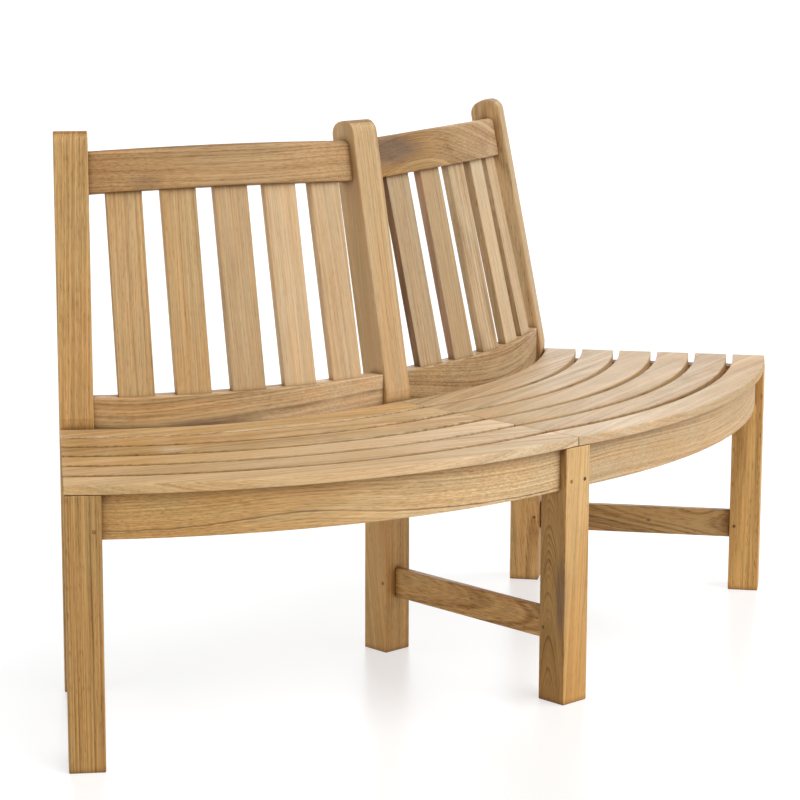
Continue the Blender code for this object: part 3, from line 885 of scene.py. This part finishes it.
@dataclass
class BackSection(Assembly):
    """The two rails of a section's back, and the slats between them."""

    slats: int = 5

    def slat_turn(self, number: int) -> float:
        """Turn of a slat about Z; slats are counted from the middle frame."""
        sign = -1 if self.side is Side.LEFT else 1
        return self.turn + sign * (number - (self.slats - 1) / 2) * SLAT_TURN

    def rows(self) -> list[Row]:
        """List the section's boards.

        Returns:
            Each one's node, slot, grain and main face.
        """
        out, beside, name = outwards(self.turn), sideways(self.turn), self.side.value
        leaning = out * math.cos(RAKE) + UP * math.sin(RAKE)
        rows = [
            (f"lower_back_rail_{name}", "back_rail", beside, out),
            (f"top_back_rail_{name}", "back_rail", beside, leaning),
        ]
        for number in range(self.slats):
            away = outwards(self.slat_turn(number))
            grain = UP * math.cos(RAKE) - away * math.sin(RAKE)
            face = away * math.cos(RAKE) + UP * math.sin(RAKE)
            rows.append((f"back_slat_{name}_{number + 1}", "back_slat", grain, face))
        return rows


# Studio


def shown_ray(tree: Tree) -> Socket:
    """Tell rays that show the surroundings from rays that light the bench.

    Args:
        tree: The tree that asks.

    Returns:
        1 for camera, glossy and transmission rays, and 0 for the others.
    """
    path = tree.add("LightPath").outputs
    mirrored = tree.maths("MAXIMUM", path["Is Glossy Ray"], path["Is Transmission Ray"])
    return tree.maths("MAXIMUM", path["Is Camera Ray"], mirrored)


@dataclass
class Lamp:
    """A soft distant lamp: where it stands by bearing and height, its strength and its spread.

    Angles are in degrees. The bearing counts from -Y towards +X.
    """

    name: str
    bearing: float
    height: float
    strength: float
    spread: float
    colour: Triple = (1.0, 1.0, 1.0)
    distance: float = 4.0

    def build(self) -> None:
        """Hang the lamp."""
        data = bpy.data.lights.new(self.name, "SUN")
        data.energy = self.strength * math.pi
        data.angle = math.radians(self.spread)
        data.color = self.colour
        lamp = bpy.data.objects.new(self.name, data)
        bpy.context.scene.collection.objects.link(lamp)
        height = math.radians(self.height)
        towards = outwards(math.radians(self.bearing)) * math.cos(height) + UP * math.sin(height)
        lamp.rotation_euler = (-towards).to_track_quat("-Z", "Y").to_euler()
        lamp.location = towards * self.distance


@dataclass
class Floor:
    """A pale floor that shows white to the camera and keeps the bench's shadow.

    Rays that light the bench meet its plain colour. The camera sees a mix of its lit colour, a
    glow and a little gloss.
    """

    size: float = 160.0
    plain: Opaque = (0.84, 0.83, 0.82, 1.0)
    lit: Opaque = (0.96, 0.96, 0.96, 1.0)
    glow: float = 1.14
    glow_share: float = 0.55
    gloss_roughness: float = 0.28
    gloss_share: float = 0.08

    def build(self) -> None:
        """Lay the floor."""
        half = self.size / 2
        mesh = bpy.data.meshes.new("studio_floor")
        mesh.from_pydata([(-half, -half, 0.0), (half, -half, 0.0), (half, half, 0.0), (-half, half, 0.0)],
                         [], [(0, 1, 2, 3)])
        floor = bpy.data.objects.new("studio_floor", mesh)
        bpy.context.scene.collection.objects.link(floor)
        mesh.materials.append(self.material())

    def material(self) -> bpy.types.Material:
        """Make the floor's material.

        Returns:
            The material.
        """
        material = bpy.data.materials.new("studio_floor")
        material.use_nodes = True
        material.node_tree.nodes.clear()
        tree = Tree(material.node_tree)
        plain = tree.add("BsdfDiffuse", {"Color": self.plain}).outputs[0]
        lit = tree.add("BsdfDiffuse", {"Color": self.lit}).outputs[0]
        glow = tree.add("Emission", {"Color": WHITE, "Strength": self.glow}).outputs[0]
        gloss = tree.add("BsdfGlossy", {"Color": WHITE, "Roughness": self.gloss_roughness}).outputs[0]
        white = tree.add("MixShader", {0: self.glow_share, 1: lit, 2: glow}).outputs[0]
        white = tree.add("MixShader", {0: self.gloss_share, 1: white, 2: gloss}).outputs[0]
        seen = tree.add("MixShader", {0: shown_ray(tree), 1: plain, 2: white}).outputs[0]
        tree.add("OutputMaterial", {"Surface": seen})
        return material


@dataclass
class Camera:
    """The camera at the photograph's angle. Its turns are in radians, its lens in millimetres."""

    place: Triple = (-3.1570, -3.2330, 1.3260)
    yaw: float = 0.76530
    pitch: float = 0.19051
    roll: float = -0.00354
    lens: float = 121.344
    sensor_width: float = 36.0
    nearest: float = 0.05
    farthest: float = 400.0

    def build(self) -> None:
        """Stand the camera."""
        data = bpy.data.cameras.new("camera")
        data.lens = self.lens
        data.sensor_width = self.sensor_width
        data.sensor_fit = "HORIZONTAL"
        data.clip_start, data.clip_end = self.nearest, self.farthest
        camera = bpy.data.objects.new("camera", data)
        bpy.context.scene.collection.objects.link(camera)
        level = Vector((math.cos(self.yaw), -math.sin(self.yaw), 0.0))
        ahead = Vector((math.sin(self.yaw), math.cos(self.yaw), 0.0)) * math.cos(self.pitch)
        ahead -= UP * math.sin(self.pitch)
        down = ahead.cross(level)
        right = level * math.cos(self.roll) + down * math.sin(self.roll)
        below = down * math.cos(self.roll) - level * math.sin(self.roll)
        turned = Matrix((right, -below, -ahead)).transposed()
        camera.matrix_world = Matrix.Translation(self.place) @ turned.to_4x4()
        bpy.context.scene.camera = camera


@dataclass
class Studio:
    """The floor, the soft light and the camera round the bench."""

    ambient: float = 0.26
    ambient_colour: Opaque = (1.0, 0.96, 0.88, 1.0)
    lamps: list[Lamp] = field(default_factory=lambda: [
        Lamp("key_lamp", 20.0, 52.0, 0.78, 60.0),
        Lamp("side_lamp", -110.0, 18.0, 0.24, 60.0, (1.0, 0.96, 0.90)),
        Lamp("rim_lamp", 135.0, 19.0, 0.18, 36.0, (0.9, 1.0, 1.1)),
    ])

    def build(self) -> None:
        """Set up the floor, the light and the camera."""
        Floor().build()
        self.build_world()
        for lamp in self.lamps:
            lamp.build()
        Camera().build()
        bpy.context.scene.view_settings.view_transform = "Standard"

    def build_world(self) -> None:
        """Light the bench evenly, with white surroundings for camera and mirror rays."""
        world = bpy.data.worlds.new("studio")
        world.use_nodes = True
        world.node_tree.nodes.clear()
        tree = Tree(world.node_tree)
        dim = tree.add("Background", {"Color": self.ambient_colour, "Strength": self.ambient}).outputs[0]
        white = tree.add("Background", {"Color": WHITE, "Strength": 1.0}).outputs[0]
        seen = tree.add("MixShader", {0: shown_ray(tree), 1: dim, 2: white}).outputs[0]
        tree.add("OutputWorld", {"Surface": seen})
        bpy.context.scene.world = world


# The bench

POST = Timber(rings=0.12, bands=0.18, fibres=0.70)
BAR = Timber(Tone.AMBER, rings=0.14, bands=0.16, fibres=1.07)
SEAT = Timber(rings=0.16, bands=0.24, fibres=0.53)
APRON = Timber(rings=0.08, bands=0.14, fibres=0.66)
RAIL = Timber(rings=0.16, bands=0.38, fibres=0.66)
BACK = Timber(rings=0.05, bands=0.12, fibres=0.39)


def cut(base: Timber, tone: Tone, light: float, **marks: object) -> Timber:
    """Cut a board from a family of timber.

    Args:
        base: The family's timber.
        tone: The board's body colour.
        light: How light the board is.
        marks: What else sets this board apart.

    Returns:
        The board's timber.
    """
    return replace(base, tone=tone, light=light, **marks)


# Each fade below paints sheen and shade along its board
FRAME_TIMBERS = {
    "front_leg_left": cut(POST, Tone.RUSSET, 0.90, fade=0.5, rings=0.08, fibres=0.82, heart=(0.16, 0.05),
                          streak=0.012, streak_share=0.2),
    "front_leg_middle": cut(POST, Tone.AMBER, 1.16, fade=1.7, fibres=0.47, rings=0.16, bands=0.30,
                            heart=(-0.030, 0.035), slope=-3.0, ring_width=0.0008, wander=0.003,
                            side_tone=Tone.RUSSET, side_light=0.87, side_rings=0.55, stain_tone=Tone.UMBER,
                            stain=Stain(-0.03, 0.028, 0.012, 0.65, depth=0.009, length=8.0)),
    "front_leg_right": cut(POST, Tone.RUSSET, 1.33, fade=0.4, bands=0.08, fibres=0.86),
    "back_post_left": cut(POST, Tone.AMBER, 0.95, heart=(0.15, 0.06), streak=-0.004, streak_share=0.3),
    # The two back posts below take painted light on the foot, a tone that stands in for the light in the
    # seat's shade
    "back_post_middle": cut(POST, Tone.TAN, 0.94, fibres=0.46, rings=0.04, heart=(0.17, 0.03), sides=-0.1,
                            fade=-0.3, ends=1.5, foot_tone=Tone.AMBER, foot_light=1.15),
    "back_post_right": cut(POST, Tone.TAN, 0.88, fibres=0.82, bands=0.30, heart=(-0.07, 0.05), slope=-1.8,
                           sides=-0.38, fade=-0.5, ends=1.5, foot_tone=Tone.AMBER, foot_light=1.15),
    "seat_bearer": Timber(Tone.RUSSET),
    "stretcher_left": cut(BAR, Tone.AMBER, 0.93),
    "stretcher_middle": cut(BAR, Tone.AMBER, 1.0, heart=(0.008, 0.05), dive=4.0, wander=0.012, sides=0.3),
    "stretcher_right": cut(BAR, Tone.AMBER, 0.80, heart=(0.03, 0.06), slope=-5.0, dive=-4.0, wander=0.012,
                           rings=0.24, ring_width=0.003, swell=Swell(0.13, 0.03, 0.030, 0.016),
                           stain=Stain(0.027, 0.0, 0.0036, 0.9, length=1.5), stain_tone=Tone.UMBER),
    "apron_peg_left": Timber(Tone.RUSSET, 0.95),
    "apron_peg_middle_left": Timber(Tone.AMBER, 1.05),
    "apron_peg_middle_right": Timber(Tone.BROWN, 0.6),
    "apron_peg_right": Timber(Tone.BROWN),
    "stretcher_peg": Timber(Tone.RUSSET, 0.62),
    "stretcher_peg_middle_rear": Timber(Tone.AMBER, 1.1),
    "stretcher_peg_right_rear": Timber(Tone.AMBER, 0.9),
}

# Each fade below paints sheen and shade along its board
SEAT_TIMBERS = {
    "seat_slat_left_1": cut(SEAT, Tone.TAN, 0.96, heart=(0.12, 0.20), sides=-0.35, fade=1.1),
    "seat_slat_left_2": cut(SEAT, Tone.TAN, 0.90, fade=1.4, bands=0.36),
    "seat_slat_left_3": cut(SEAT, Tone.TAN, 0.99, fade=2.1),
    "seat_slat_left_4": cut(SEAT, Tone.HONEY, 0.80, fade=2.3, rings=0.45, bands=0.70, fibres=0.82,
                            side_tone=Tone.HONEY, side_light=0.78, side_rings=0.10,
                            stain=Stain(-0.19, -0.02, 0.014, 0.8), stain_tone=Tone.IVORY),
    "seat_slat_left_5": cut(SEAT, Tone.HONEY, 0.92, fade=1.6, rings=0.65, bands=0.80, fibres=0.74,
                            side_tone=Tone.HONEY, side_light=0.85, side_rings=0.10),
    # The next slat's narrow sides are paler than its top: a painted highlight along the gap to its neighbour
    "seat_slat_left_6": cut(SEAT, Tone.HONEY, 0.87, fade=0.2, rings=0.34, bands=0.45, fibres=0.74,
                            side_tone=Tone.IVORY, side_light=1.1, side_rings=0.05),
    "seat_slat_right_1": cut(SEAT, Tone.TAN, 0.92, heart=(0.12, 0.20), fade=-1.1, rings=0.08, bands=0.40,
                             fibres=0.39, sides=-0.1),
    "seat_slat_right_2": cut(SEAT, Tone.TAN, 0.81, sides=-0.3, bands=0.55, fibres=0.43),
    "seat_slat_right_3": cut(SEAT, Tone.TAN, 0.84, sides=-0.8, bands=0.45, fibres=0.39),
    "seat_slat_right_4": cut(SEAT, Tone.TAN, 0.87, sides=-0.65, rings=0.10, fibres=0.28),
    "seat_slat_right_5": cut(SEAT, Tone.STRAW, 0.81, sides=-0.65, bands=0.48, fibres=0.42),
    "seat_slat_right_6": cut(SEAT, Tone.STRAW, 0.80, sides=-1.1, bands=0.34, fibres=0.56),
    "front_apron_left": cut(APRON, Tone.HONEY, 1.01, heart=(0.22, 0.05), slope=-0.7, dive=-3.0, fade=1.5,
                            wander=0.003, swell=Swell(-0.09, -0.012, 0.050, 0.0125),
                            streak=0.0220, streak_width=0.0018, streak_share=0.95),
    "front_apron_right": cut(APRON, Tone.TAN, 1.0, fade=-0.25, fibres=0.49, heart=(-0.20, 0.06), slope=0.0,
                             dive=3.4, streak=0.0007, streak_width=0.0014, streak_share=0.4),
    "rear_apron": cut(APRON, Tone.RUSSET, 1.0),
    "middle_bearer": Timber(Tone.RUSSET),
}

# Each fade below paints sheen and shade along its board
BACK_TIMBERS = {
    "lower_back_rail_left": cut(RAIL, Tone.TAN, 0.97, fibres=0.56, heart=(-0.34, 0.09), slope=0.0, dive=-8.0,
                                fade=1.0, sides=0.6, swell=Swell(-0.22, 0.0, 0.06, 0.012), streak=-0.0029,
                                streak_width=0.0050, streak_share=0.62, stain_tone=Tone.UMBER,
                                stain=Stain(-0.07, -0.026, 0.022, 0.9, length=6.0)),
    "lower_back_rail_right": cut(RAIL, Tone.TAN, 0.77, fibres=0.75, rings=0.22, bands=0.5,
                                 heart=(-0.12, 0.10), slope=0.0, dive=3.0, fade=0.5),
    "top_back_rail_left": cut(RAIL, Tone.CHESTNUT, 0.95, heart=(-0.20, 0.05), fade=0.6, sides=0.65,
                              stain=Stain(-0.15, -0.022, 0.016, 0.4)),
    "top_back_rail_right": cut(RAIL, Tone.CHESTNUT, 0.90, heart=(0.10, 0.10), slope=0.0, dive=-9.0, fade=1.6,
                               fibres=0.72, rings=0.22, bands=0.65, swell=Swell(-0.12, -0.02, 0.05, 0.02),
                               stain=Stain(-0.20, 0.010, 0.032, 0.9, length=3.5), stain_tone=Tone.UMBER),
    "back_slat_left_1": cut(BACK, Tone.STRAW, 0.92, sides=-0.3, bands=0.20),
    "back_slat_left_2": cut(BACK, Tone.STRAW, 0.97, sides=-0.4, fibres=0.34),
    "back_slat_left_3": cut(BACK, Tone.TAN, 0.86, sides=-0.4, fibres=0.42),
    "back_slat_left_4": cut(BACK, Tone.HONEY, 0.89, sides=-0.3, fibres=0.51,
                            stain=Stain(0.10, 0.015, 0.006, 0.5)),
    "back_slat_left_5": cut(BACK, Tone.HONEY, 0.87, fibres=0.56, bands=0.10),
    "back_slat_right_1": cut(BACK, Tone.STRAW, 0.73, bands=0.18, fibres=0.49,
                             side_tone=Tone.UMBER, side_light=1.55),
    "back_slat_right_2": cut(BACK, Tone.TAN, 0.78, bands=0.10, side_tone=Tone.UMBER, side_light=2.4),
    "back_slat_right_3": cut(BACK, Tone.STRAW, 0.81, sides=-0.3, rings=0.25, bands=0.75, fibres=0.52),
    "back_slat_right_4": cut(BACK, Tone.IVORY, 0.97, sides=0.6, bands=0.20),
    "back_slat_right_5": cut(BACK, Tone.STRAW, 0.84, sides=0.65, bands=0.10, fibres=0.61),
}


def main() -> None:
    """Dress the bench and set up the studio."""
    logging.basicConfig(level=logging.INFO, format="%(message)s")
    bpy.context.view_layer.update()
    teak = Teak().finish()
    for side, sign in {Side.LEFT: -1.0, Side.MIDDLE: 0.0, Side.RIGHT: 1.0}.items():
        RadialFrame(side, sign * FRAME_TURN, FRAME_TIMBERS).dress(teak)
        if side is not Side.MIDDLE:
            SeatSection(side, sign * SECTION_TURN, SEAT_TIMBERS).dress(teak)
            BackSection(side, sign * SECTION_TURN, BACK_TIMBERS).dress(teak)
    Studio().build()


if __name__ == "__main__":
    main()
